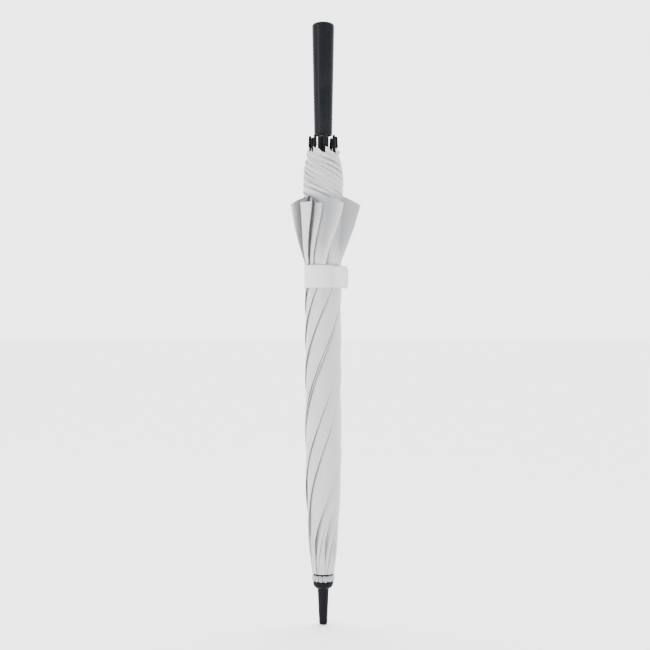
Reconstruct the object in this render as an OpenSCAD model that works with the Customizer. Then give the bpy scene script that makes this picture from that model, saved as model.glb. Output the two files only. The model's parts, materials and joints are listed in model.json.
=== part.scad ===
// Stick umbrella, furled and strapped, standing on its ferrule with the handle up.
// The frame's origin is the centre of the ferrule's end face, and +Z runs along the shaft to the handle.

/* [Shaft and handle] */
// Length from the ferrule's end to the handle's top, mm
overall_l = 928; // [920:1:945]
// Outside diameter of the shaft tube, mm
shaft_d = 14; // [13.6:0.1:14.2]
// Wall of the shaft tube, mm
shaft_wall = 0.8; // [0.6:0.1:1]
// Length of the foam handle, mm
handle_l = 174; // [172:1:180]
// Diameter of the handle at its top, mm
handle_top_d = 34.6; // [33:0.2:38]
// Diameter of the handle at its lower end, mm
handle_low_d = 28; // [27:0.2:30]

/* [Ferrule end] */
// Length of the ferrule, mm
ferrule_l = 54.6; // [54:0.2:56]
// Diameter of the ferrule where it meets the cap, mm
ferrule_top_d = 17.3; // [17:0.1:18]
// Diameter of the ferrule's end, mm
ferrule_end_d = 12.6; // [12:0.1:14]
// Diameter of the cap over the gathered cloth, mm
cap_d = 31.4; // [31:0.1:33]
// Diameter of the cloth ruffle under the cap, mm
rosette_d = 34.6; // [33:0.2:36]

/* [Ribs and stretchers] */
// Length from the rib's pivot to the top of its tip, mm
rib_l = 667.6; // [665:0.2:668]
// Pivot-to-pivot length of a stretcher, mm
link_l = 315; // [313:0.5:316]
// Radius of the pivot wires and of the rib joints, mm
pivot_r = 11; // [10.9:0.1:11.1]
// Diameter of a rib rod, mm
rod_d = 3; // [2.8:0.1:3.1]
// Diameter of a tip cap, mm
tip_d = 5.8; // [5.4:0.1:6]

/* [Furled canopy] */
// Diameter of the rolled canopy, mm
roll_d = 56.4; // [56:0.1:60]
// Mean radius that the flared pleats reach above the strap, mm
flare_r = 54; // [48:0.5:58]
// Diameter of the hem where it meets the rib tips, mm
hem_d = 47.2; // [47:0.1:49]
// Height of the flared pleats' corners, mm
flare_z = 647; // [640:1:655]
// Width of the tie strap, mm
strap_w = 35.5; // [30:0.5:40]
// Height of the tie strap's middle, mm
strap_z = 536; // [530:1:540]

/* [Hidden] */
$fn = 48;
first_az = 8;
notch_z = 86;
mid_z = notch_z + link_l;
run_z = notch_z + 2 * link_l;
tip_z = notch_z + rib_l;
handle_z = overall_l - handle_l;
shaft_r = shaft_d / 2;
rod_r = rod_d / 2;
rod_z0 = notch_z + 12;
rod_x0 = 15.5;
rod_x1 = 20.5;
lean = atan((rod_x1 - rod_x0) / (tip_z - rod_z0));
mid_x = rod_x0 + (mid_z - rod_z0) * tan(lean);
tongue_t = 1.8;
slot_w = 2.3;
wire_r = 0.7;
hole_r = 0.8;
tip_end_r = 2.1;
sleeve_r = 8.6;
groove_az = first_az + 22.5;
strap_z0 = strap_z - strap_w / 2;
strap_z1 = strap_z + strap_w / 2;
strap_r = roll_d / 2 - 0.1;
strap_t = 1.5;
open_run_z = notch_z + 2 * link_l * cos(63);
catch_x = 3.2;
top_catch_z = open_run_z + handle_z - 2 - run_z + 0.6;
low_catch_z = run_z - 8.6;
hem_z = tip_z - 18.6;

// Turns a piece drawn in the X-Z plane to the place of rib i, counted from 1.
module at_rib(i) {
    rotate([0, 0, first_az + 45 * (i - 1)]) children();
}

// Puts a piece in the leaning frame of a rib's rod, with its origin at the rod's lower end.
module on_rod() {
    translate([rod_x0, 0, rod_z0]) rotate([0, lean, 0]) children();
}

// Extrudes an X-Z outline by t, centred on Y.
module plate(t) {
    rotate([90, 0, 0]) linear_extrude(height = t, center = true) children();
}

// The window that a catch's nose stands out of.
module window(z, way) {
    rotate([0, 0, groove_az]) translate([2, -1.15, z - 12 - 8 * way]) cube([8, 2.3, 24]);
}

// The cross pin inside the tube that a catch's foot turns on.
module catch_pin(z) {
    rotate([0, 0, groove_az])
    translate([catch_x, 0, z])
    rotate([90, 0, 0])
    cylinder(r = 1, h = 11.6, center = true);
}

module shaft() {
    color([0.16, 0.16, 0.17])
    union() {
        difference() {
            translate([0, 0, 34]) cylinder(r = shaft_r, h = overall_l - 12 - 34);
            translate([0, 0, 33]) cylinder(r = shaft_r - shaft_wall, h = overall_l - 44);
            window(top_catch_z, -1);
            window(low_catch_z, 1);
        }
        catch_pin(top_catch_z + 36);
        catch_pin(low_catch_z - 36);
    }
}

module ferrule() {
    color([0.05, 0.05, 0.055])
    difference() {
        rotate_extrude()
        polygon([
            [0, 0], [ferrule_end_d / 2 - 1.6, 0], [ferrule_end_d / 2 - 0.5, 0.5],
            [ferrule_end_d / 2, 1.7], [ferrule_top_d / 2, ferrule_l], [0, ferrule_l]
        ]);
        translate([0, 0, 33.9]) cylinder(r = shaft_r + 0.03, h = 40);
    }
}

module cap() {
    color([0.04, 0.04, 0.045])
    difference() {
        rotate_extrude()
        polygon([
            [shaft_r + 0.03, ferrule_l + 0.1], [ferrule_top_d / 2 + 0.6, ferrule_l + 0.1],
            [cap_d / 2 - 3.6, ferrule_l + 2.2], [cap_d / 2 - 1.2, ferrule_l + 4.6],
            [cap_d / 2, ferrule_l + 8], [cap_d / 2, ferrule_l + 12.3],
            [cap_d / 2 - 1.4, ferrule_l + 12.3], [cap_d / 2 - 1.6, ferrule_l + 8.4],
            [cap_d / 2 - 4.8, ferrule_l + 4.4], [shaft_r + 0.03, ferrule_l + 4.2]
        ]);
    }
}

module rosette() {
    color([0.8, 0.81, 0.83])
    rotate_extrude()
    polygon([
        [shaft_r + 0.2, ferrule_l + 13], [cap_d / 2 - 2, ferrule_l + 12.6],
        [rosette_d / 2, ferrule_l + 14.4], [rosette_d / 2, ferrule_l + 19],
        [rosette_d / 2 - 1.6, ferrule_l + 22.4], [shaft_r + 0.2, ferrule_l + 22.4]
    ]);
}

// One ring of pivot slots in a hub: cut from radius 8.4 outwards, h tall from height z.
module pivot_slots(z, h) {
    for (i = [1:8])
        at_rib(i) translate([8.4, -slot_w / 2, z]) cube([12, slot_w, h]);
}

// The ring that a pivot wire fills, at height z.
module wire_ring(z, r) {
    translate([0, 0, z]) rotate_extrude() translate([pivot_r, 0]) circle(r = r, $fn = 24);
}

module notch() {
    color([0.09, 0.09, 0.1])
    difference() {
        union() {
            translate([0, 0, notch_z - 8]) cylinder(r = pivot_r + 3, h = 15);
            translate([0, 0, notch_z - 8]) cylinder(r = 9.4, h = 22);
        }
        translate([0, 0, notch_z - 9]) cylinder(r = shaft_r + 0.03, h = 24);
        pivot_slots(notch_z - 3.2, 12);
        wire_ring(notch_z, wire_r + 0.02);
    }
}

module notch_wire() {
    color([0.7, 0.7, 0.72]) wire_ring(notch_z, wire_r);
}

module handle_grip() {
    color([0.06, 0.06, 0.07])
    difference() {
        rotate_extrude()
        polygon([
            [0, handle_z], [handle_low_d / 2 - 1.2, handle_z], [handle_low_d / 2, handle_z + 1.4],
            [handle_top_d / 2, overall_l - 5.4], [handle_top_d / 2 - 0.5, overall_l - 3.4],
            [handle_top_d / 2 - 1.9, overall_l - 1.7], [handle_top_d / 2 - 4.4, overall_l - 0.7],
            [handle_top_d / 4, overall_l - 0.1], [0, overall_l]
        ]);
        translate([0, 0, handle_z - 1]) cylinder(r = 9.55, h = handle_l - 9);
        translate([0, 0, handle_z - 0.1]) cylinder(r1 = handle_low_d / 2 - 2.2, r2 = 9.5, h = 7);
    }
}

module handle_core() {
    color([0.03, 0.03, 0.035])
    difference() {
        translate([0, 0, handle_z + 5]) cylinder(r = 9.5, h = handle_l - 15.4);
        translate([0, 0, handle_z + 4]) cylinder(r = shaft_r + 0.03, h = handle_l - 15.9);
    }
}

module runner() {
    color([0.07, 0.07, 0.08])
    difference() {
        union() {
            translate([0, 0, run_z - 8]) cylinder(r = sleeve_r, h = handle_z - 2 - run_z + 8);
            translate([0, 0, run_z - 8]) cylinder(r = pivot_r + 3, h = 16);
            translate([0, 0, run_z + 8]) cylinder(r1 = sleeve_r + 2, r2 = sleeve_r, h = 6);
        }
        translate([0, 0, run_z - 9]) cylinder(r = shaft_r + 0.1, h = 60);
        pivot_slots(run_z - 9, 13);
        rotate([0, 0, groove_az]) translate([2, -1.3, run_z - 9]) cube([7.3, 2.6, 60]);
        wire_ring(run_z, wire_r + 0.02);
    }
}

module runner_wire() {
    color([0.7, 0.7, 0.72]) wire_ring(run_z, wire_r);
}

// A leaf catch in the tube: its foot turns on a cross pin, and its nose stands out of the window.
// The nose's square face is at height z and faces up for way 1, down for way -1.
module catch(z, way) {
    color([0.62, 0.63, 0.65])
    rotate([0, 0, groove_az])
    plate(1.5)
    difference() {
        union() {
            translate([catch_x, z - 36 * way]) circle(r = 2.2, $fn = 24);
            polygon([
                [2, z - 36 * way], [4.4, z - 36 * way], [5.8, z - 18 * way],
                [8.8, z - 2 * way], [8.8, z], [5.4, z + 2 * way], [3.8, z + 2 * way]
            ]);
        }
        translate([catch_x, z - 36 * way]) circle(r = 1.08, $fn = 24);
    }
}

module top_spring() {
    catch(top_catch_z, -1);
}

module bottom_spring() {
    catch(low_catch_z, 1);
}

// The tie strap: a loop round the roll whose sewn end stands off the roll as a flat tab.
module strap() {
    color([0.84, 0.85, 0.87])
    union() {
        translate([0, 0, strap_z0])
        difference() {
            cylinder(r = strap_r + strap_t, h = strap_w, $fn = 96);
            translate([0, 0, -1]) cylinder(r = strap_r, h = strap_w + 2, $fn = 96);
        }
        rotate([0, 0, -30]) translate([strap_r, -0.5, strap_z0]) cube([strap_t, 22.5, strap_w]);
    }
}

module strap_patch() {
    color([0.72, 0.73, 0.75])
    rotate([0, 0, -30])
    translate([strap_r - 0.8, 12, strap_z0 + 5])
    cube([0.78, 9, strap_w - 10]);
}

module rib(i) {
    color([0.5, 0.5, 0.52])
    at_rib(i)
    union() {
        plate(tongue_t)
        difference() {
            union() {
                translate([pivot_r, notch_z]) circle(r = 2);
                polygon([
                    [pivot_r - 1.9, notch_z + 0.6], [pivot_r + 1.9, notch_z - 0.6],
                    [rod_x0 + 1.2, rod_z0 - 1], [rod_x0 + 1.2, rod_z0 + 8],
                    [rod_x0 - 1.2, rod_z0 + 8], [rod_x0 - 1.6, rod_z0 + 1]
                ]);
            }
            translate([pivot_r, notch_z]) circle(r = hole_r);
        }
        on_rod() cylinder(r = rod_r, h = tip_z - rod_z0 - 8);
    }
}

module rib_tip(i) {
    color([0.04, 0.04, 0.045])
    at_rib(i)
    on_rod()
    difference() {
        union() {
            translate([0, 0, tip_z - rod_z0 - 31]) cylinder(r = 1.95, h = 20);
            translate([0, 0, tip_z - rod_z0 - 17])
                cylinder(r1 = tip_d / 2, r2 = tip_end_r, h = 17 - tip_end_r);
            translate([0, 0, tip_z - rod_z0 - tip_end_r]) sphere(r = tip_end_r);
        }
        translate([0, 0, tip_z - rod_z0 - 32]) cylinder(r = rod_r + 0.02, h = 24.3);
    }
}

// The crimped bracket on the rod, with two ears and the rivet that the stretcher turns on.
module rib_clip(i) {
    color([0.66, 0.67, 0.69])
    at_rib(i)
    union() {
        difference() {
            union() {
                translate([mid_x, 0, mid_z - 7]) rotate([0, lean, 0]) cylinder(r = 2.25, h = 14);
                for (s = [-1.65, 1.65])
                    translate([0, s, 0])
                    plate(0.8)
                    union() {
                        translate([pivot_r, mid_z]) circle(r = 2.6);
                        translate([pivot_r, mid_z - 2.6]) square([mid_x - pivot_r, 5.2]);
                    }
            }
            translate([mid_x - 7 * sin(lean), 0, mid_z - 8])
            rotate([0, lean, 0])
            translate([0, 0, -6])
            cylinder(r = rod_r + 0.02, h = 30);
        }
        translate([pivot_r, 0, mid_z]) rotate([90, 0, 0]) cylinder(r = wire_r, h = 4.1, center = true);
    }
}

module stretcher(i) {
    color([0.6, 0.61, 0.63])
    at_rib(i)
    union() {
        plate(tongue_t)
        difference() {
            union() {
                translate([pivot_r, mid_z]) circle(r = 1.9);
                translate([pivot_r - 1.4, mid_z]) square([2.8, 16]);
                translate([pivot_r - 1.4, run_z - 20]) square([2.8, 20]);
                translate([pivot_r, run_z]) circle(r = 1.9);
            }
            translate([pivot_r, mid_z]) circle(r = hole_r);
            translate([pivot_r, run_z]) circle(r = hole_r);
        }
        difference() {
            translate([pivot_r - 1.5, -1.6, mid_z + 8]) cube([3, 3.2, link_l - 22]);
            translate([pivot_r - 2, -0.9, mid_z + 18]) cube([2.5, 1.8, link_l - 40]);
        }
    }
}

// One gore of the furled canopy: its share of the roll, and its own flared pleat above the strap.
module panel(i) {
    az = first_az + 45 * (i - 1);
    fr = flare_r + 3 * cos(az + 22.5);
    rr = roll_d / 2;
    color([0.8, 0.81, 0.83])
    union() {
        rotate([0, 0, az + 0.5])
        rotate_extrude(angle = 44)
        polygon([
            [14.6, 79.3], [16.9, 79.3], [19.3, 98], [21.8, 118], [24.2, 150], [26.4, 190],
            [rr - 0.4, 225], [rr, 270], [rr, strap_z0 - 6], [rr - 0.5, strap_z0 - 1],
            [rr - 0.5, strap_z1 + 1], [rr + 0.4, strap_z1 + 7], [rr + 2.4, flare_z - 25],
            [rr + 2.8, hem_z - 49], [rr + 1.3, hem_z - 34], [rr - 2.2, hem_z - 16],
            [hem_d / 2, hem_z], [rod_x1 + 2.3, hem_z], [rod_x0 + 2.6, rod_z0], [14.6, notch_z]
        ]);
        rotate([0, 0, az + 10])
        rotate_extrude(angle = 25)
        polygon([
            [rr - 3, strap_z1 + 5], [rr - 0.7, strap_z1 + 5], [rr + 5, strap_z1 + 34],
            [fr - 8, flare_z - 22], [fr - 1, flare_z - 4], [fr, flare_z],
            [fr - 4, flare_z + 3], [rr + 5, flare_z + 15], [rr - 2, flare_z + 19]
        ]);
    }
}

shaft();
ferrule();
cap();
rosette();
notch();
notch_wire();
handle_grip();
handle_core();
runner();
runner_wire();
top_spring();
bottom_spring();
strap();
strap_patch();
rib(1);  // rib_1
rib(2);  // rib_2
rib(3);  // rib_3
rib(4);  // rib_4
rib(5);  // rib_5
rib(6);  // rib_6
rib(7);  // rib_7
rib(8);  // rib_8
rib_tip(1);  // rib_tip_1
rib_tip(2);  // rib_tip_2
rib_tip(3);  // rib_tip_3
rib_tip(4);  // rib_tip_4
rib_tip(5);  // rib_tip_5
rib_tip(6);  // rib_tip_6
rib_tip(7);  // rib_tip_7
rib_tip(8);  // rib_tip_8
rib_clip(1);  // rib_clip_1
rib_clip(2);  // rib_clip_2
rib_clip(3);  // rib_clip_3
rib_clip(4);  // rib_clip_4
rib_clip(5);  // rib_clip_5
rib_clip(6);  // rib_clip_6
rib_clip(7);  // rib_clip_7
rib_clip(8);  // rib_clip_8
stretcher(1);  // stretcher_1
stretcher(2);  // stretcher_2
stretcher(3);  // stretcher_3
stretcher(4);  // stretcher_4
stretcher(5);  // stretcher_5
stretcher(6);  // stretcher_6
stretcher(7);  // stretcher_7
stretcher(8);  // stretcher_8
panel(1);  // panel_1
panel(2);  // panel_2
panel(3);  // panel_3
panel(4);  // panel_4
panel(5);  // panel_5
panel(6);  // panel_6
panel(7);  // panel_7
panel(8);  // panel_8
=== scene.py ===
"""Looks of the furled stick umbrella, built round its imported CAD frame. Metres, +Z up."""
import json
import math

import bmesh
import bpy
import numpy as np
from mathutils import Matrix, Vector


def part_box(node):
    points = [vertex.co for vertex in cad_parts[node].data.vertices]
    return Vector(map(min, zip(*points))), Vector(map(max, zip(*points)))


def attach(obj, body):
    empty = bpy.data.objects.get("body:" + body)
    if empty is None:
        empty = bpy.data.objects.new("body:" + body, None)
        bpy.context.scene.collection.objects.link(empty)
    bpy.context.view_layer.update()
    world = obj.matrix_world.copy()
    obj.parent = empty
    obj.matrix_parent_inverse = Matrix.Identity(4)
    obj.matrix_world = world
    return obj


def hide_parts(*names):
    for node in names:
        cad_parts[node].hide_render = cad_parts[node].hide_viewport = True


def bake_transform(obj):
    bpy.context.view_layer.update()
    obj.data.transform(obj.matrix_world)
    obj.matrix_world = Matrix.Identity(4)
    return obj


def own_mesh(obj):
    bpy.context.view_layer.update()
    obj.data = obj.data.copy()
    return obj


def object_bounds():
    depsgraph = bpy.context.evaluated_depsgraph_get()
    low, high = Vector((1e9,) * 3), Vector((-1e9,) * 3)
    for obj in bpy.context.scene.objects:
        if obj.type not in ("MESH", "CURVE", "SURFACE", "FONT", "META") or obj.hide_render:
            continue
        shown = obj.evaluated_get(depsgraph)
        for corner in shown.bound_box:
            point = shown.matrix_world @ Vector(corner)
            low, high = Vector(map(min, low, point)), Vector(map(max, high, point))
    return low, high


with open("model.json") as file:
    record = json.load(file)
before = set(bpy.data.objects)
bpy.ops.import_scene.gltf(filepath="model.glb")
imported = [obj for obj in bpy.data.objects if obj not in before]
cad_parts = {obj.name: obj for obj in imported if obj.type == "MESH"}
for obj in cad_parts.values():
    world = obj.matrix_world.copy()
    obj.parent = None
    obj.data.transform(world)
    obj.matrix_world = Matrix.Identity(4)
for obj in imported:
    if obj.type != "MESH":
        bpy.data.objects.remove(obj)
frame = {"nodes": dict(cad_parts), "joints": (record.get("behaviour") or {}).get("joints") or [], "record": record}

CAD_LO, CAD_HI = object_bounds()
MM = 0.001
RIBS = 8
STEP = 360 / RIBS
JOINTS = {j["name"]: j for j in frame["joints"]}
NODES = frame["nodes"]


# ---------------------------------------------------------------- frame measures

def points_of(node):
    """A CAD node's mesh points in the row frame."""
    o = NODES[node]
    co = np.empty(len(o.data.vertices) * 3)
    o.data.vertices.foreach_get("co", co)
    m = np.array(o.matrix_world)
    return co.reshape(-1, 3) @ m[:3, :3].T + m[:3, 3]


def rib_azimuth(i):
    """Degrees of rib i, counted from 0 and on past 7 for the next turns."""
    p = JOINTS["rib_1_fold"]["pos_m"]
    return math.degrees(math.atan2(p[1], p[0])) + STEP * i


def outline(node, azimuth, spread):
    """Heights with the lowest and highest radius of a node's points near one azimuth."""
    p = points_of(node)
    r = np.hypot(p[:, 0], p[:, 1])
    off = (np.degrees(np.arctan2(p[:, 1], p[:, 0])) - azimuth + 180) % 360 - 180
    near = np.abs(off) < spread
    z = np.round(p[near, 2], 4)
    levels = np.unique(z)
    low = np.array([r[near][z == v].min() for v in levels])
    high = np.array([r[near][z == v].max() for v in levels])
    return levels, low, high


# Where the profiles are read off the panels: degrees past a rib, and degrees either side.
AT_ROOT, AT_FIN, NEAR = 0.5, 10, 0.3
# A level counts as wall, or as outside, if its radii differ by at least this much.
THIN_WALL, CLEAR = 0.5 * MM, 1 * MM
STRAP_THICK = 1.6 * MM
OPEN_ANGLE = math.radians(JOINTS["rib_1_fold"]["range_deg"][1])
# Half a gore's width per unit of its length, when open.
HALF_SPAN = math.sin(math.radians(STEP / 2)) * math.sin(OPEN_ANGLE)
APEX_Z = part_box("panel_1")[0][2]
HEM_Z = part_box("panel_1")[1][2]
CORNER_DROP = 4 * MM
STRAP_LO, STRAP_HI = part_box("strap")[0][2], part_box("strap")[1][2]
ROLL_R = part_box("strap")[1][1] - STRAP_THICK
LEVELS, LOW, HIGH = outline("panel_1", rib_azimuth(0) + AT_ROOT, NEAR)
WALL = HIGH - LOW > THIN_WALL
INNER_Z, INNER_R = LEVELS[WALL], LOW[WALL]
OUT = HIGH > np.interp(LEVELS, INNER_Z, INNER_R) + CLEAR
OUTER_Z, OUTER_R = LEVELS[OUT], HIGH[OUT]
FIN = [outline(f"panel_{i + 1}", rib_azimuth(i) + AT_FIN, NEAR) for i in range(RIBS)]
FIN_R = [float(o[2].max()) for o in FIN]
FLARE_Z = float(FIN[0][0][FIN[0][2].argmax()]) + CORNER_DROP


def smooth(x, a, b):
    """0 up to a, 1 from b on, and an eased step between."""
    t = np.clip((x - a) / (b - a), 0, 1)
    return t * t * (3 - 2 * t)


# ---------------------------------------------------------------- furled canopy

# How far each gore's fold runs ahead of an even spacing on the roll, degrees.
ROLL_LEAD = (16, -22, -4, -6, 20, 0, -1, 3)
# Heights between which that lead comes in.
LEAD_FROM, LEAD_TO = 0.1, 0.25
# How far it turns on between the strap and its flared end, degrees.
FLARE_LEAD = (14, 52, 36, 54, 16, 19, 22, 30)
# The most of it that is seen above the strap. The rest is turned under the strap.
SEEN_LEAD = 20
# Width of each fold's open end, and how much of the CAD's flare it reaches.
FOLD_WIDTH = (6, 7, 5, 4, 18, 10, 4, 5)
FLARE_REACH = (1, 1, 1, 1.09, 0.96, 0.16, 0.92, 1.07)
# How far the hem has slipped down its rib beside each tip, mm.
HEM_SLIP = (1, 3, 0, 2, 0, 1, 9, 2)
# Degrees that the cloth is wound round the shaft up to the strap's middle.
TURN = 324
TURN_POWER = 1.25
STRAP_MID = 0.536
HEM_POWER = 1.3
# Thickness of one layer, and how proud each fold stands, in layers.
CLOTH = 1.35 * MM
PROUD = 1.0
UNDER = 0.42
# The cloth lies looser near the cap, by this share between these heights.
LOOSE, LOOSE_LO, LOOSE_HI = 0.9, 0.12, 0.26
# Share of the width in which the cloth rises from its rib, and its gap to the ribs.
AT_RIB = 0.3
INNER_GAP = 0.2 * MM
# Share of the way to the blade over which the cloth eases out of its turn.
EASE = 0.1

# A blade is the part of a gore that stands out of the roll above the strap. It begins this
# far below the strap's top, and this share of the way to where it is free.
BLADE_BELOW, BLADE_FROM = 2 * MM, 0.97
LEAST_HALF = 4 * MM
# Share by which its top corner sags, and over what length.
BLADE_SAG, SAG_LENGTH = 0.07, 57 * MM
# Its edge is this wide at least, and opens by this share as it leaves the strap.
EDGE_WIDTH = 0.7 * MM
FOOT_SHARE, FOOT_RISE = 0.35, 0.05

# Counting the folds over a point: the least gap ahead in degrees, how far past its own fold
# the count goes on, and how many folds back it looks.
LEAST_AHEAD = 8
PAST_FOLD = -0.6
FOLDS_OVER = 11

# The pleats over the cap fade out between these heights.
PLEAT_LO, PLEAT_HI = 0.11, 0.2
PLEAT_DEPTH = 1.6 * MM
# The crumples at the hem come in from below the flare's corners to above them. They fall
# this far per radian, sway by this much, and come in a broad and a fine wave, per metre.
CRUMPLE_BELOW, CRUMPLE_ABOVE = 4 * MM, 24 * MM
CRUMPLE_DEPTH = 1.1 * MM
CRUMPLE_FALL, CRUMPLE_SWAY = 13.5 * MM, 1.6 * MM
BROAD_WAVE, FINE_WAVE = 760, 1370
BROAD_SHARE, FINE_SHARE = 0.65, 0.35
# Beside its tips the hem puckers over this length, by this depth and these degrees.
FRAY_LENGTH, FRAY_DEPTH, FRAY_SWING = 26 * MM, 0.9 * MM, 7
SLACK_DEPTH = 0.22 * MM
# Painted shade beside the edge of the next fold shows from this many folds deep, is full, still full, and gone
# again.
SHADE_FROM, SHADE_FULL, SHADE_KEPT, SHADE_GONE = 0.86, 0.98, 1.05, 1.2
# How much painted shade is in the blades' roots, the pleats and the crumples, and near the cap.
ROOT_SHADE, PLEAT_SHADE, CRUMPLE_SHADE, CAP_SHADE = 0.72, 0.8, 1.0, 0.2
# The cloth begins this far from the point where the gore's sides would meet.
APEX_CUT = 6 * MM


def layer(n):
    """Depth of the n-th layer in cloth thicknesses, with each fold standing a little proud."""
    under = n - np.floor(n)
    proud = np.floor(n) + under + PROUD * (np.floor(n) + smooth(under, 0.25, 1.0))
    return np.where(n < 0, n, proud)


def sunk(depth_in, room):
    """Depth of a layer below the outermost, pressed closer together further in."""
    return room * (1 - np.exp(-depth_in / room))


def winding(z):
    """Degrees from a gore's first rib to its fold, wound round the shaft."""
    share = (np.clip(z, APEX_Z, STRAP_HI) - APEX_Z) / (STRAP_MID - APEX_Z)
    return STEP / 2 + TURN * share ** TURN_POWER


def blade_span(i, ridge_z):
    """Reach and width of gore i's standing blade, with the fractions where it starts and ends."""
    half = np.maximum((ridge_z - APEX_Z) * HALF_SPAN, LEAST_HALF)
    rise = np.clip((ridge_z - STRAP_HI + BLADE_BELOW) / (FLARE_Z - STRAP_HI), 0, 1)
    roll = np.interp(ridge_z, OUTER_Z, OUTER_R)
    reach = np.maximum(ROLL_R + (FIN_R[i] - ROLL_R) * rise - roll, 0) * FLARE_REACH[i] * (rise > 0)
    reach = reach * (1 - BLADE_SAG * smooth(ridge_z, FLARE_Z - SAG_LENGTH, FLARE_Z) ** 2)
    growth = FOOT_SHARE * smooth(rise, 0, FOOT_RISE) + (1 - FOOT_SHARE) * rise
    width = FOLD_WIDTH[i] * MM * growth + EDGE_WIDTH
    front = 1 - (width / 2) / half
    return reach, front - reach / half, front, width, rise


def turned(f, root):
    """Share of the way round the roll at a fraction f, all done by where the blade starts."""
    x = f / root
    lo, hi = 1 - EASE, 1 + EASE
    eased = 1 - (hi - np.clip(x, lo, hi)) ** 2 / (4 * EASE)
    return np.where(x < lo, x, np.where(x > hi, 1.0, eased))


def fold_azimuth(j, z):
    """Azimuth where gore j's cloth ends at height z: its fold, or its hem above the flare."""
    turn, i = divmod(j, RIBS)
    start = rib_azimuth(i)
    zf = np.minimum(z, FLARE_Z)
    end = start + winding(zf)
    end = end + ROLL_LEAD[i] * smooth(zf, LEAD_FROM, LEAD_TO)
    end = end + max(FLARE_LEAD[i] - SEEN_LEAD, 0) * smooth(zf, STRAP_LO, STRAP_HI)
    end = end + min(FLARE_LEAD[i], SEEN_LEAD) * smooth(zf, STRAP_HI, FLARE_Z)
    wound = 1 - (np.clip((z - FLARE_Z) / (HEM_Z - FLARE_Z), 0, 1)) ** (1 / HEM_POWER)
    wound = np.where(z > FLARE_Z, turned(wound, blade_span(i, FLARE_Z)[1]), 1.0)
    return start + (end - start) * wound + 360 * turn


def depth(i, z, azimuth):
    """How many folds lie over gore i at an azimuth, as a smooth count."""
    behind = fold_azimuth(i, z) - azimuth
    ahead = np.maximum(fold_azimuth(i + 1, z) - fold_azimuth(i, z), LEAST_AHEAD)
    count = np.maximum(np.minimum(behind / ahead, 0), PAST_FOLD)
    left = np.maximum(behind, 0)
    for k in range(FOLDS_OVER):
        gap = np.maximum(fold_azimuth(i - k, z) - fold_azimuth(i - k - 1, z), 1e-3)
        count += np.clip(left / gap, 0, 1)
        left = np.maximum(left - gap, 0)
    return count


def wrinkle(i, z, azimuth):
    """Small slack in the cloth, in metres."""
    a = np.radians(azimuth)
    slack = np.sin(3 * a + 41 * z + 1.7 * i) + 0.6 * np.sin(5 * a - 67 * z + 2.3 * i)
    return SLACK_DEPTH * slack


def ruck(z, azimuth):
    """Crumples that run down round the roll with the hems, from -1 in the hollows to 1."""
    a = np.radians(azimuth)
    along = z + CRUMPLE_FALL * a + CRUMPLE_SWAY * np.sin(2 * a + 60 * z)
    swell = 0.5 + 0.5 * np.sin(3.0 * a + 95 * z)
    broad = BROAD_SHARE * np.sin(BROAD_WAVE * along) * swell
    return broad + FINE_SHARE * np.sin(FINE_WAVE * along + 2 * a) * (1 - 0.6 * swell)


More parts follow.
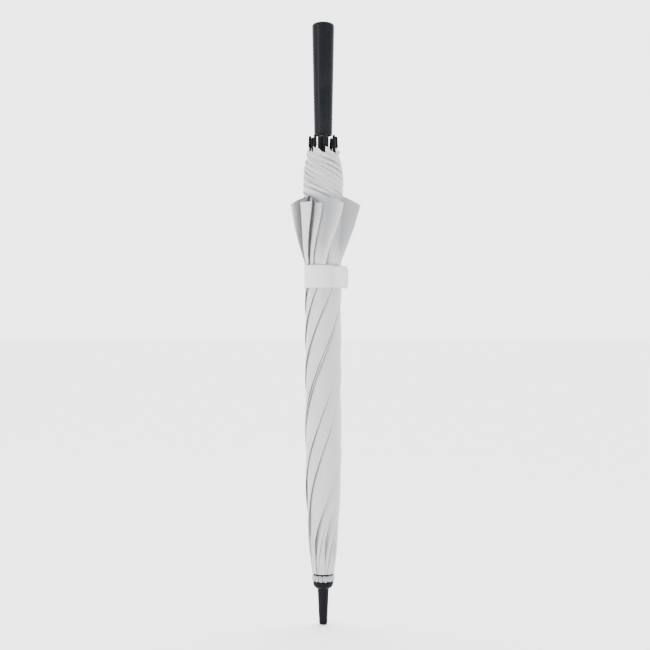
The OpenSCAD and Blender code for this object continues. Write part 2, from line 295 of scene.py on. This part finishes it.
def gore_points(i, columns=106, rows=184):
    """Rest positions of gore i, its blend weight, its open cross coordinate, its distance
    from the apex, and how much painted shade darkens it."""
    # Fraction of the way from the rib to the fold, closer together near the fold.
    f1 = 1 - (1 - np.linspace(0, 1, columns)) ** 2
    f = np.concatenate([f1, f1[::-1][1:]])
    back = np.concatenate([np.zeros(columns), np.ones(columns - 1)])
    # Rows lie closer together towards the hem.
    v = 1 - (1 - np.linspace(0, 1, rows)) ** 1.5
    f, v = np.meshgrid(f, v)
    back = np.broadcast_to(back, f.shape)
    side = 2 * back - 1
    hem = FLARE_Z + (HEM_Z - FLARE_Z) * (1 - f) ** HEM_POWER
    z = APEX_Z + v * (hem - APEX_Z)
    ridge_z = APEX_Z + v * (FLARE_Z - APEX_Z)
    # Above the strap the last of the cloth stands out as a blade with an open, rounded edge.
    reach, root, front, width, rise = blade_span(i, ridge_z)
    share = np.where(reach > 0, turned(f, root), f)
    foot = root * BLADE_FROM
    blade = np.clip((f - foot) / np.maximum(front - foot, 1e-3), 0, 1)
    end = fold_azimuth(i, ridge_z)
    start = rib_azimuth(i) + STEP * back
    azimuth = start + (end - start) * share
    # Each layer lies under the folds that are over it, and the cloth starts at its rib.
    n = depth(i, z, azimuth)
    outer = np.interp(z, OUTER_Z, OUTER_R)
    inner = np.interp(z, INNER_Z, INNER_R) + INNER_GAP
    n0 = np.maximum(depth(i, z, start), 0.5)
    room = outer - inner
    pitch = CLOTH * (1 + LOOSE * (1 - smooth(z, LOOSE_LO, LOOSE_HI)))
    r = outer - sunk(pitch * (layer(n) + UNDER * back), room)
    r0 = outer - sunk(pitch * (layer(n0) + UNDER * back), room)
    r = r + (inner - r0) * (1 - smooth(f, 0, AT_RIB))
    r = r + reach * blade ** 0.9
    z = z - CORNER_DROP * rise * blade ** 2
    # The fold itself is a round edge, wider where it hangs open.
    near = np.clip((f - front) / (1 - front), 0, 1)
    bulge = np.sqrt(np.clip(1 - near ** 2, 0, 1)) * smooth(f, foot, front)
    lean = np.degrees(width / 2 / np.maximum(r, 0.02))
    azimuth = azimuth + lean * (smooth(f, 0.5 * root, root) + side * bulge)
    r = r + 0.12 * width * (1 - (1 - near) ** 2) * smooth(f, 0.85, 1)
    r = r + wrinkle(i, z, azimuth) * smooth(f, 0.05, 0.3)
    # The hem is crumpled, and slips and puckers beside its tips.
    crumple = ruck(z, azimuth)
    crumpled = smooth(z, FLARE_Z - CRUMPLE_BELOW, FLARE_Z + CRUMPLE_ABOVE) * smooth(f, 0.02, 0.15)
    r = r + CRUMPLE_DEPTH * crumple * crumpled
    frayed = smooth(z, HEM_Z - FRAY_LENGTH, HEM_Z) * (1 - smooth(f, 0.02, 0.2))
    z = z - HEM_SLIP[i] * MM * frayed
    swing = FRAY_SWING * np.sin(900 * z + 5 * i + 3 * back)
    azimuth = azimuth + frayed * smooth(f, 0, 0.03) * swing
    r = r + frayed * FRAY_DEPTH * (1 + np.sin(700 * z + 60 * f + 2 * i))
    # Painted shade darkens the cloth where the next fold lies over it.
    low = 1 - smooth(z, PLEAT_LO, PLEAT_HI)
    wide = 0.3 * low + 0.22 * smooth(z, FLARE_Z, FLARE_Z + 20 * MM)
    painted_shade = smooth(n, SHADE_FROM - wide, SHADE_FULL) * (1 - smooth(n, SHADE_KEPT, SHADE_GONE))
    painted_shade = painted_shade * (0.85 + 0.15 * low)
    pleat = np.sin(2 * np.pi * (2 * n + 0.15 * i)) * low * smooth(n, -0.1, 0.1)
    r = r - PLEAT_DEPTH * np.maximum(pleat, 0) * smooth(z, APEX_Z, 0.13)
    # Painted shade also darkens the roots of the blades, the hollows of the pleats and of the crumples, and the
    # deeper layers near the cap.
    at_root = smooth(rise, 0, 0.4) * smooth(f, root - 0.2, root)
    painted_shade = painted_shade + ROOT_SHADE * at_root * (1 - blade) ** 0.8
    painted_shade = painted_shade + PLEAT_SHADE * smooth(pleat, 0.45, 1) + CAP_SHADE * low * smooth(n, 0.3, 0.9)
    painted_shade = np.clip(painted_shade + CRUMPLE_SHADE * crumpled * smooth(-crumple, 0.1, 0.6), 0, 1)
    a = np.radians(azimuth)
    rest = np.stack([r * np.cos(a), r * np.sin(a), z], -1)
    across = np.where(back > 0, 1 - f / 2, f / 2)
    # Spread evenly when open: allow for how far the point stands aside of its place.
    t = z - APEX_Z + APEX_CUT
    place = np.radians(rib_azimuth(i) + STEP * across)
    aside = r * np.sin(a - place) / np.maximum(2 * t * HALF_SPAN, 0.05)
    weight = across - aside
    return rest, weight, across, t, painted_shade


def grid_object(name, rest, uv):
    """A mesh of quads from a grid of points, with a UV map in metres."""
    rows, cols = rest.shape[:2]
    k = np.arange(rows * cols).reshape(rows, cols)
    quads = np.stack([k[:-1, :-1], k[:-1, 1:], k[1:, 1:], k[1:, :-1]], -1).reshape(-1, 4)
    mesh = bpy.data.meshes.new(name)
    mesh.from_pydata(rest.reshape(-1, 3).tolist(), [], quads.tolist())
    cut = mesh.uv_layers.new(name="cut")
    corner = np.empty(len(mesh.loops), np.int32)
    mesh.loops.foreach_get("vertex_index", corner)
    cut.data.foreach_set("uv", uv.reshape(-1, 2)[corner].astype(np.float32).ravel())
    mesh.polygons.foreach_set("use_smooth", np.ones(len(mesh.polygons), bool))
    mesh.update()
    o = bpy.data.objects.new(name, mesh)
    bpy.context.collection.objects.link(o)
    return o


def mark(o, painted_shade):
    """Store how much painted shade darkens each point, for the cloth's colour."""
    values = o.data.attributes.new("painted_shade", "FLOAT", "POINT")
    values.data.foreach_set("value", np.asarray(painted_shade, np.float32).ravel())


# ---------------------------------------------------------------- materials

class Nodes:
    """Short calls for a material's node tree."""

    def __init__(self, name):
        self.m = bpy.data.materials.new(name)
        self.m.use_nodes = True
        self.t = self.m.node_tree
        self.shader = self.t.nodes["Principled BSDF"]

    def add(self, kind, **inputs):
        n = self.t.nodes.new(kind)
        for key, value in inputs.items():
            if key in n.inputs:
                self.put(value, n.inputs[key])
            else:
                setattr(n, key, value)
        return n

    def put(self, value, socket):
        if isinstance(value, bpy.types.NodeSocket):
            self.t.links.new(value, socket)
        else:
            socket.default_value = value

    def set(self, **inputs):
        for key, value in inputs.items():
            self.put(value, self.shader.inputs[key.replace("_", " ")])

    def math(self, operation, a, b=0.0):
        n = self.add("ShaderNodeMath", operation=operation)
        self.put(a, n.inputs[0])
        self.put(b, n.inputs[1])
        return n.outputs[0]

    def mix(self, factor, a, b):
        n = self.add("ShaderNodeMix", data_type="RGBA")
        self.put(factor, n.inputs[0])
        self.put(a, n.inputs[6])
        self.put(b, n.inputs[7])
        return n.outputs[2]

    def noise(self, scale, detail=3.0, vector=None, rough=0.5):
        n = self.add("ShaderNodeTexNoise", Scale=scale, Detail=detail, Roughness=rough)
        if vector is not None:
            self.put(vector, n.inputs["Vector"])
        return n.outputs["Fac"]

    def step(self, value, low, high):
        """0 to 1 as the value goes from low to high."""
        n = self.add("ShaderNodeMapRange")
        self.put(value, n.inputs["Value"])
        n.inputs["From Min"].default_value, n.inputs["From Max"].default_value = low, high
        return n.outputs["Result"]

    def span(self, value, low, high):
        """A 0 to 1 value, spread between low and high."""
        n = self.add("ShaderNodeMapRange")
        self.put(value, n.inputs["Value"])
        n.inputs["To Min"].default_value, n.inputs["To Max"].default_value = low, high
        return n.outputs["Result"]

    def bump(self, height, distance, strength=1.0):
        n = self.add("ShaderNodeBump", Strength=strength, Distance=distance)
        self.put(height, n.inputs["Height"])
        self.put(n.outputs["Normal"], self.shader.inputs["Normal"])


THREAD = 0.9 * MM
# The hem's turned-in width, its seam's distance in and half width, and one stitch.
HEM_FOLD, SEAM_IN, SEAM_HALF, STITCH = 8 * MM, 6.8 * MM, 0.6 * MM, 3 * MM
SEAM_GREY = (0.38, 0.39, 0.41, 1)
# The grey of the painted shade in creases and under folds, and the most of it mixed into the cloth.
SHADE_GREY, SHADE_SHARE = (0.10, 0.105, 0.115, 1), 0.83


def cloth_material(name, light, dark, length, stitches=True):
    """Close-woven canopy cloth: threads both ways, slack variation, and a stitched hem."""
    n = Nodes(name)
    uv = n.add("ShaderNodeUVMap").outputs["UV"]
    xyz = n.add("ShaderNodeSeparateXYZ", Vector=uv)
    x, y = xyz.outputs[0], xyz.outputs[1]
    warp = n.math("SINE", n.math("MULTIPLY", x, 2 * math.pi / THREAD))
    weft = n.math("SINE", n.math("MULTIPLY", y, 2 * math.pi / THREAD))
    weave = n.math("MULTIPLY", warp, weft)
    long = n.add("ShaderNodeMapping", Vector=uv)
    long.inputs["Scale"].default_value = (900, 14, 1)
    thread = n.noise(1.0, 2.0, long.outputs[0])
    slack = n.noise(26.0, 4.0, n.add("ShaderNodeTexCoord").outputs["Object"])
    tone = n.math("ADD", n.math("MULTIPLY", thread, 0.5), n.math("MULTIPLY", slack, 0.5))
    colour = n.mix(n.step(tone, 0.3, 0.7), dark, light)
    height = n.math("ADD", n.math("MULTIPLY", weave, 0.25), n.math("MULTIPLY", thread, 1.2))
    if stitches:
        edge = n.math("SUBTRACT", length, y)
        doubled = n.math("LESS_THAN", edge, HEM_FOLD)
        off_seam = n.math("ABSOLUTE", n.math("SUBTRACT", edge, SEAM_IN))
        seam = n.math("LESS_THAN", off_seam, SEAM_HALF)
        run = n.math("SINE", n.math("MULTIPLY", x, 2 * math.pi / STITCH))
        stitch = n.math("MULTIPLY", seam, n.math("GREATER_THAN", run, -0.3))
        colour = n.mix(n.math("MULTIPLY", stitch, 0.5), colour, SEAM_GREY)
        height = n.math("ADD", height, n.math("MULTIPLY", doubled, 1.5))
        height = n.math("SUBTRACT", height, n.math("MULTIPLY", stitch, 2.0))
    # Painted shade: the cloth turns dark grey where the painted_shade attribute is high.
    painted_shade = n.add("ShaderNodeAttribute", attribute_name="painted_shade").outputs["Fac"]
    colour = n.mix(n.math("MULTIPLY", painted_shade, SHADE_SHARE), colour, SHADE_GREY)
    n.set(Base_Color=colour, Roughness=n.step(slack, -0.6, 1.6))
    n.shader.inputs["Sheen Weight"].default_value = 0.12
    n.shader.inputs["Sheen Roughness"].default_value = 0.5
    n.bump(height, 0.0002, 0.5)
    return n.m


def foam_material():
    """Closed-cell foam: dark, dry, finely pored, and rubbed a little lighter in patches."""
    dark, rubbed = (0.0065, 0.0074, 0.0088, 1), (0.0105, 0.0115, 0.0133, 1)
    n = Nodes("foam_grip")
    at = n.add("ShaderNodeTexCoord").outputs["Object"]
    pores = n.noise(1600.0, 3.0, at, 0.7)
    cells = n.add("ShaderNodeTexVoronoi", Scale=900.0, Vector=at).outputs["Distance"]
    wear = n.noise(38.0, 5.0, at)
    colour = n.mix(n.step(wear, 0.4, 0.75), dark, rubbed)
    n.set(Base_Color=colour, Roughness=n.step(wear, -0.5, 2.6))
    n.shader.inputs["IOR"].default_value = 1.14
    height = n.math("ADD", pores, n.math("MULTIPLY", cells, 0.6))
    n.bump(height, 0.0002, 0.12)
    return n.m


def moulded_material(name, base, worn, low, high, grain=700.0):
    """Moulded plastic or resin with a fine grain and scuffs."""
    n = Nodes(name)
    at = n.add("ShaderNodeTexCoord").outputs["Object"]
    grains = n.noise(grain, 3.0, at, 0.6)
    scuff = n.noise(70.0, 6.0, at, 0.7)
    colour = n.mix(n.step(scuff, 0.55, 0.8), base, worn)
    n.set(Base_Color=colour, Roughness=n.span(scuff, low, high))
    n.shader.inputs["IOR"].default_value = 1.12
    n.bump(grains, 0.00015, 0.35)
    return n.m


def drawn_material(name, base, low, high, metal=0.0):
    """A drawn rod or tube, with streaks along it."""
    n = Nodes(name)
    at = n.add("ShaderNodeMapping", Vector=n.add("ShaderNodeTexCoord").outputs["Object"])
    at.inputs["Scale"].default_value = (900, 900, 12)
    streak = n.noise(1.0, 3.0, at.outputs[0])
    dark = tuple(c * 0.7 for c in base[:3]) + (1,)
    n.set(Base_Color=n.mix(streak, dark, base), Roughness=n.span(streak, low, high))
    n.shader.inputs["Metallic"].default_value = metal
    n.bump(streak, 0.00008, 0.4)
    return n.m


GORE_LEN = float(HEM_Z - APEX_Z)
GORE_GREYS = (0.50, 0.505, 0.515, 1), (0.44, 0.445, 0.46, 1)
STRAP_GREYS = (0.64, 0.645, 0.655, 1), (0.58, 0.585, 0.60, 1)
RUFFLE_GREYS = (0.50, 0.505, 0.52, 1), (0.38, 0.385, 0.40, 1)
BLACKS = (0.007, 0.0075, 0.009, 1), (0.014, 0.0145, 0.016, 1)
HUB_BLACKS = (0.007, 0.007, 0.008, 1), (0.018, 0.018, 0.020, 1)
M_CLOTH = cloth_material("canopy_cloth", *GORE_GREYS, GORE_LEN)
M_STRAP = cloth_material("strap_cloth", *STRAP_GREYS, 1.0, False)
M_RUFFLE = cloth_material("ruffle_cloth", *RUFFLE_GREYS, 1.0, False)
M_FOAM = foam_material()
M_BLACK = moulded_material("black_plastic", *BLACKS, 0.35, 0.6)
M_HUB = moulded_material("hub_plastic", *HUB_BLACKS, 0.35, 0.6)
M_RIB = drawn_material("glass_fibre", (0.035, 0.035, 0.04, 1), 0.3, 0.5)
M_TUBE = drawn_material("shaft_fibre", (0.03, 0.03, 0.034, 1), 0.25, 0.45)
M_STEEL = drawn_material("plated_steel", (0.42, 0.43, 0.45, 1), 0.25, 0.45, 1.0)
HOOK_GREYS = (0.5, 0.51, 0.53, 1), (0.6, 0.61, 0.63, 1)
M_HOOK = moulded_material("hook_pile", *HOOK_GREYS, 0.8, 1.0, grain=2500.0)
BY_SLOT = {
    "foam": M_FOAM, "black_plastic": M_BLACK, "cloth": M_CLOTH, "webbing": M_STRAP,
    "hook_patch": M_HOOK, "fibreglass": M_RIB, "shaft_tube": M_TUBE, "plated_steel": M_STEEL,
}


def paint(o, material):
    """Give a piece one material in place of any it has."""
    o.data.materials.clear()
    o.data.materials.append(material)


for part in frame["record"]["subparts"]:
    paint(NODES[part["node"]], BY_SLOT[part["material_slot"]])
for hub in ("notch", "runner"):
    paint(NODES[hub], M_HUB)


# ---------------------------------------------------------------- canopy pieces


def make_gore(i):
    """One gore of the canopy, folded on the roll, in place of its CAD panel."""
    rest, weight, across, t, painted_shade = gore_points(i)
    uv = np.stack([(across - 0.5) * 2 * HALF_SPAN * t, t * GORE_LEN / np.maximum(t[-1], 1e-6)], -1)
    o = grid_object(f"gore_{i + 1}", rest, uv)
    mark(o, painted_shade)
    paint(o, M_CLOTH)
    a, b = f"rib_{i + 1}", f"panel_{i + 1}"
    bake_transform(o)
    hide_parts(b)


for gore in range(RIBS):
    make_gore(gore)


# The strip's flat height, its points round the shaft, and its pleats.
RUFFLE_AROUND = 720
PLEATS, SMALL_PLEATS = 29, 17


def make_ruffle():
    """The gathered ring of cloth under the cap: a strip pleated round the shaft."""
    lo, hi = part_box("rosette")
    outer = hi[0]
    k = np.linspace(0, 2 * math.pi, RUFFLE_AROUND + 1)
    rows, ruffle_shade = [], []
    levels = np.linspace(0, 1, 9)
    for s in levels:
        wave = np.sin(PLEATS * k + 1.3 * np.sin(3 * k) + s) + 0.5 * np.sin(SMALL_PLEATS * k + 3 * s)
        belly = math.sin(math.pi * (0.12 + 0.8 * s)) ** 0.5
        r = outer * (0.86 + 0.08 * belly) + outer * 0.055 * wave * (0.5 + 0.5 * belly)
        level = lo[2] + (hi[2] - lo[2]) * (0.05 + 0.9 * s)
        z = level + 0.5 * MM * np.sin(13 * k + s) * (2 * s - 1)
        # Painted shade in the pleats' hollows and towards the strip's top and bottom edges.
        ruffle_shade.append(0.6 * smooth(-wave, -0.2, 1.2) + 0.35 * abs(2 * s - 1) ** 2)
        rows.append(np.stack([r * np.cos(k), r * np.sin(k), z], -1))
    rest = np.array(rows)
    length = float(np.linalg.norm(np.diff(rest[4], axis=0), axis=1).sum())
    along = np.linspace(0, length, RUFFLE_AROUND + 1)
    uv = np.stack(np.meshgrid(along, levels * 0.01), -1)
    o = grid_object("cloth_ruffle", rest, uv)
    mark(o, np.array(ruffle_shade))
    paint(o, M_RUFFLE)
    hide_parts("rosette")
    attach(o, "frame")


make_ruffle()


# ---------------------------------------------------------------- strap

def ribbon(name, path, width, thick, z0, corner, seam_at, rows=17):
    """A closed band that follows a plan path, with rounded corners at its far end."""
    path = np.array(path)
    step = np.linalg.norm(np.diff(path, axis=0), axis=1)
    s = np.concatenate([[0], np.cumsum(step)])
    total = s[-1]
    tangent = np.gradient(path, axis=0)
    tangent /= np.linalg.norm(tangent, axis=1)[:, None]
    normal = np.stack([tangent[:, 1], -tangent[:, 0]], -1)
    cols = []
    for side in (1, -1):
        grid = []
        for h in np.linspace(0, 1, rows):
            cut = np.clip((s - (total - corner)) / corner, 0, 1)
            trim = corner * (1 - np.sqrt(1 - cut ** 2))
            z = z0 + trim + (width - 2 * trim) * h
            puff = 1 - 0.45 * (abs(2 * h - 1) ** 8)
            off = side * thick / 2 * puff
            grid.append(np.column_stack([path + normal * off, z]))
        cols.append(np.array(grid))
    rest = np.concatenate([cols[0], cols[1][::-1], cols[0][:1]])
    across = np.concatenate([np.linspace(0, width, rows), np.linspace(width, 0, rows), [0]])
    uv = np.stack(np.meshgrid(s, across), -1)
    o = grid_object(name, rest, uv)
    # Painted shade darkens the band towards its edges and far end, and a thin fainter dark line runs across it at
    # seam_at.
    edge = np.minimum(np.minimum(uv[..., 1], width - uv[..., 1]), total - uv[..., 0])
    seam = np.abs(uv[..., 0] - seam_at) < 0.5 * MM
    mark(o, np.clip(0.45 * (1 - smooth(edge, 0.4 * MM, 1.6 * MM)) + 0.15 * seam, 0, 1))
    b = bmesh.new()
    b.from_mesh(o.data)
    bmesh.ops.remove_doubles(b, verts=b.verts, dist=1e-6)
    bmesh.ops.holes_fill(b, edges=[e for e in b.edges if e.is_boundary], sides=0)
    bmesh.ops.recalc_face_normals(b, faces=b.faces)
    b.to_mesh(o.data)
    b.free()
    for p in o.data.polygons:
        p.use_smooth = len(p.vertices) <= 4
    return o, float(total)


# Azimuths in degrees: the band's two ends, where the free end's lap starts, and where it
# leaves the roll.
BAND_FROM, BAND_TO = -45, 310
LAP_FROM, LEAVE = -62, -30
SEAM_AT = 326
TURN_STEP = 1.5
# The free end's length off the roll and how far it bends away.
FREE_LENGTH, FREE_BEND, FREE_PARTS = 22 * MM, 1.8 * MM, 12
BAND_THICK, FREE_THICK = 1.2 * MM, 1.3 * MM


def make_strap():
    """The tie strap: wound round the roll, with its free end standing off to the right."""
    lo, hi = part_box("strap")
    width = hi[2] - lo[2]
    outer = hi[1] - 0.35 * MM
    leave = math.radians(LEAVE)
    path = []
    for angle in np.arange(BAND_FROM, BAND_TO, TURN_STEP):
        a = math.radians(angle)
        r = outer - 0.7 * MM + 0.2 * MM * math.sin(5 * a)
        path.append((r * math.cos(a), r * math.sin(a)))
    seam_at = math.radians(SEAM_AT) * outer
    band, length = ribbon("strap_band", path, width, thick=BAND_THICK, z0=lo[2],
                          corner=0.2 * MM, seam_at=seam_at)
    over = [math.radians(a) for a in np.arange(LAP_FROM, LEAVE + 1, TURN_STEP)]
    top = [((outer + 0.5 * MM) * math.cos(a), (outer + 0.5 * MM) * math.sin(a)) for a in over]
    x, y = top[-1]
    for k in range(1, FREE_PARTS + 1):
        d = k / FREE_PARTS
        along = FREE_LENGTH * d
        bend = FREE_BEND * d * d
        top.append((x + along * -math.sin(leave) + bend * math.cos(leave),
                    y + along * math.cos(leave) + bend * math.sin(leave)))
    tab, extra = ribbon("strap_end", top, width - 1.2 * MM, thick=FREE_THICK,
                        z0=lo[2] - 0.2 * MM, corner=4 * MM, seam_at=2 * MM)
    for o, size in ((band, length), (tab, extra)):
        paint(o, M_STRAP)
        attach(o, "rib_5")
        a = math.radians(rib_azimuth(4))
        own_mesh(o)
    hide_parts("strap", "strap_patch")


make_strap()


# ---------------------------------------------------------------- stage

FLOOR_HALF = 30.0
# What both lights point at.
LIT_AT = (0, 0, 0.5)
FLOOR_WHITE = 0.93
FRONT_LIGHT, BACK_LIGHT, TOP_LIGHT = 0.5, 3.9, 9.5


def make_stage():
    """The floor and the light round it."""
    floor = bpy.data.meshes.new("floor")
    s = FLOOR_HALF
    floor.from_pydata([(-s, -s, 0), (s, -s, 0), (s, s, 0), (-s, s, 0)], [], [(0, 1, 2, 3)])
    o = bpy.data.objects.new("floor", floor)
    bpy.context.collection.objects.link(o)
    n = Nodes("floor_paint")
    n.set(Base_Color=(FLOOR_WHITE, FLOOR_WHITE, FLOOR_WHITE, 1), Roughness=0.9)
    paint(o, n.m)
    make_world()


def make_world():
    """Plain studio light: bright overhead and behind, softer from the front."""
    world = bpy.data.worlds.new("studio")
    world.use_nodes = True
    t = world.node_tree
    direction = t.nodes.new("ShaderNodeTexCoord").outputs["Generated"]
    xyz = t.nodes.new("ShaderNodeSeparateXYZ")
    t.links.new(direction, xyz.inputs[0])

    def ramp(value, start, end, low=0.0, high=1.0):
        n = t.nodes.new("ShaderNodeMapRange")
        n.interpolation_type = "SMOOTHSTEP"
        t.links.new(value, n.inputs["Value"])
        n.inputs["From Min"].default_value, n.inputs["From Max"].default_value = start, end
        n.inputs["To Min"].default_value, n.inputs["To Max"].default_value = low, high
        return n

    def combine(operation, a, b=None):
        n = t.nodes.new("ShaderNodeMath")
        n.operation = operation
        t.links.new(a, n.inputs[0])
        if b is not None:
            t.links.new(b, n.inputs[1])
        return n.outputs[0]

    behind = ramp(xyz.outputs[1], -0.3, 0.9, FRONT_LIGHT, BACK_LIGHT)
    above = ramp(xyz.outputs[2], 0.35, 0.85)
    rear = ramp(xyz.outputs[1], -0.1, 0.5, 0.0, TOP_LIGHT)
    t.links.new(rear.outputs[0], above.inputs["To Max"])
    total = combine("ADD", behind.outputs[0], above.outputs[0])
    # A bright band all round at eye level, like a studio's pale walls.
    level = combine("ABSOLUTE", xyz.outputs[2])
    wall = ramp(level, 0.1, 0.4, BACK_LIGHT, 0.0)
    brightest = combine("MAXIMUM", total, wall.outputs[0])
    back = t.nodes["Background"]
    back.inputs[0].default_value = (1, 1, 1, 1)
    t.links.new(brightest, back.inputs[1])
    bpy.context.scene.world = world


def area_light(name, at, to, size, power):
    """A soft box at one point, facing another."""
    light = bpy.data.lights.new(name, "AREA")
    light.shape = "RECTANGLE"
    light.size, light.size_y = size
    light.energy = power
    o = bpy.data.objects.new(name, light)
    o.location = at
    o.rotation_euler = (Vector(to) - Vector(at)).to_track_quat("-Z", "Y").to_euler()
    bpy.context.collection.objects.link(o)


# The camera's distance, aim and half view, in the umbrella's heights.
CAMERA_AWAY, AIM_X, AIM_Z, HALF_VIEW = 1.83, 0.003, 0.4975, 0.541
SENSOR = 36


def make_camera():
    """A level camera in front, with the whole umbrella in view."""
    height = CAD_HI[2]
    away = CAMERA_AWAY * height
    middle = Vector((AIM_X * height, 0, AIM_Z * height))
    data = bpy.data.cameras.new("camera")
    data.sensor_width = SENSOR
    data.lens = SENSOR / (2 * math.tan(math.atan(HALF_VIEW * height / away)))
    cam = bpy.data.objects.new("camera", data)
    cam.location = middle + Vector((0, -away, 0))
    cam.rotation_euler = (math.pi / 2, 0, 0)
    bpy.context.collection.objects.link(cam)
    bpy.context.scene.camera = cam


make_stage()
area_light("key", at=(-2.3, -1.5, 1.1), to=LIT_AT, size=(0.7, 1.6), power=48)
area_light("fill", at=(1.9, -2.0, 0.9), to=LIT_AT, size=(1.2, 1.8), power=6.5)
make_camera()
